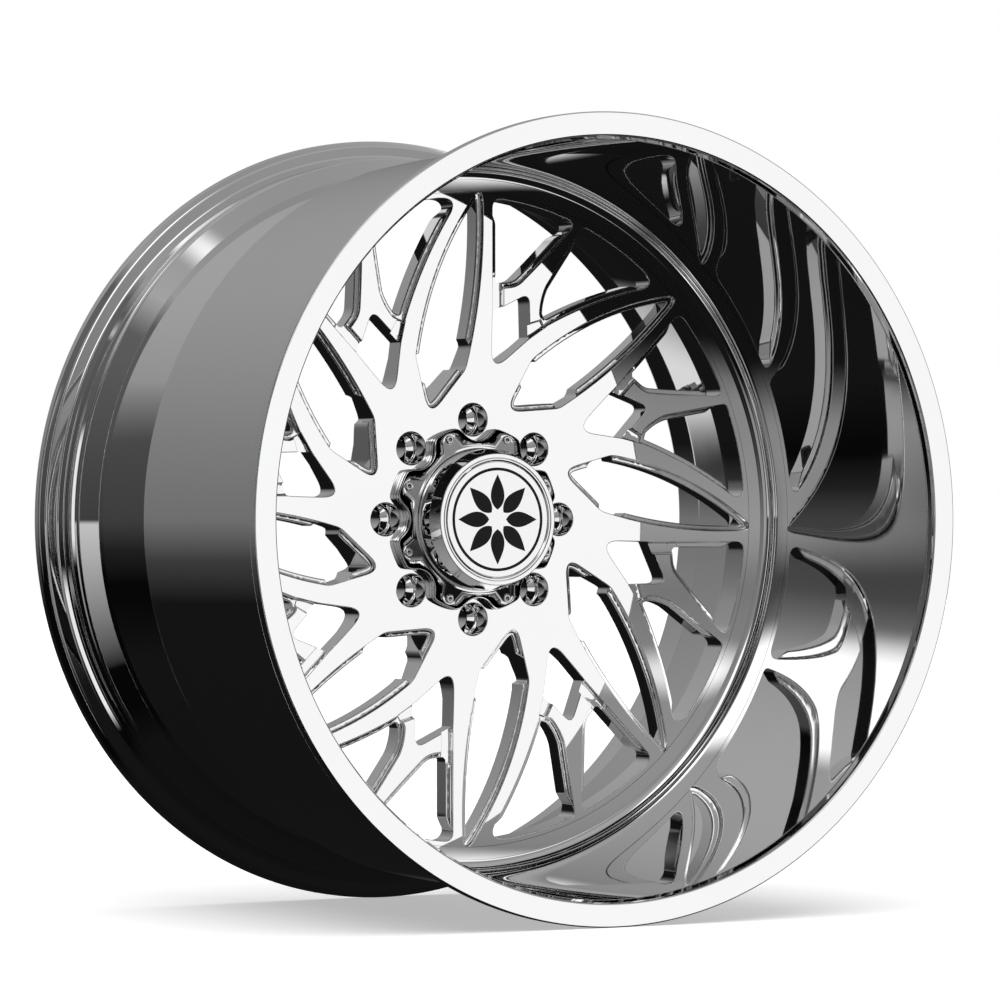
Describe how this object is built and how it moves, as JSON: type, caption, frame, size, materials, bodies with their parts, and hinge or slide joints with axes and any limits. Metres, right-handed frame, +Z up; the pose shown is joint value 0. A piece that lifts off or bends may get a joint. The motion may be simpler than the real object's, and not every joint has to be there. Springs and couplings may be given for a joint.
{
  "type": "forged racing wheel rim",
  "caption": "Deep-dish forged wheel rim with swept leaf windows, branched spokes, a bolt-on centre cap and a clamp-in tyre valve; carries a tubeless tyre on a hub.",
  "frame": {"origin": "on the wheel axis, midway between the outer faces of the two flanges", "axes": "+Y along the wheel axis towards the brake side, -Y out of the dish, +Z up, +X to the right seen from the front"},
  "size_m": [0.645, 0.3956, 0.645],
  "materials": {
    "mirror_rim": "forged aluminium, polished and plated to a chrome mirror",
    "mirror_cap": "machined billet aluminium, plated to a chrome mirror",
    "satin_disc": "finely brushed plate with a plain dark inlay",
    "screw_steel": "bright stainless socket-head screws",
    "nickel_valve": "nickel plated brass",
    "valve_brass": "turned brass",
    "plain_steel": "plain bright steel",
    "black_rubber": "matt black rubber",
    "black_plastic": "matt black moulded plastic"
  },
  "bodies": {
    "wheel": {"rim_barrel": "mirror_rim", "spoke_centre": "mirror_rim", "cap_body": "mirror_cap", "cap_disc": "satin_disc", "cap_trim_ring": "mirror_cap", "cap_o_ring": "black_rubber", "cap_screw_1": "screw_steel", "cap_screw_2": "screw_steel", "cap_screw_3": "screw_steel", "cap_screw_4": "screw_steel", "cap_screw_5": "screw_steel", "cap_screw_6": "screw_steel", "cap_screw_7": "screw_steel", "cap_screw_8": "screw_steel", "valve_stem": "nickel_valve", "valve_grommet": "black_rubber", "valve_washer": "plain_steel", "valve_nut": "nickel_valve", "valve_core_body": "valve_brass", "valve_core_spring": "plain_steel"},
    "core_pin": {"valve_core_pin": "valve_brass"},
    "cap_travel": {"valve_cap_seal": "black_rubber"},
    "cap_turn": {"valve_cap": "black_plastic"}
  },
  "joints": [
    {"name": "core_pin_press", "type": "slide", "parent": "wheel", "child": "core_pin", "axis": [0.9239, 0, 0.3827], "range_m": [0, 0.0015], "stiffness_N_per_m": 20, "springref_m": -0.002},
    {"name": "valve_cap_lift", "type": "slide", "parent": "wheel", "child": "cap_travel", "axis": [-0.9239, 0, -0.3827], "range_m": [0, 0.0032]},
    {"name": "valve_cap_unscrew", "type": "hinge", "parent": "cap_travel", "child": "cap_turn", "pos_m": [0.22552, 0.115, 0.09341], "axis": [-0.9239, 0, -0.3827], "range_deg": [0, 1440]}
  ],
  "couplings": [
    {"joint": "valve_cap_unscrew", "follows": "valve_cap_lift", "rad_per_m": 7853.9}
  ]
}
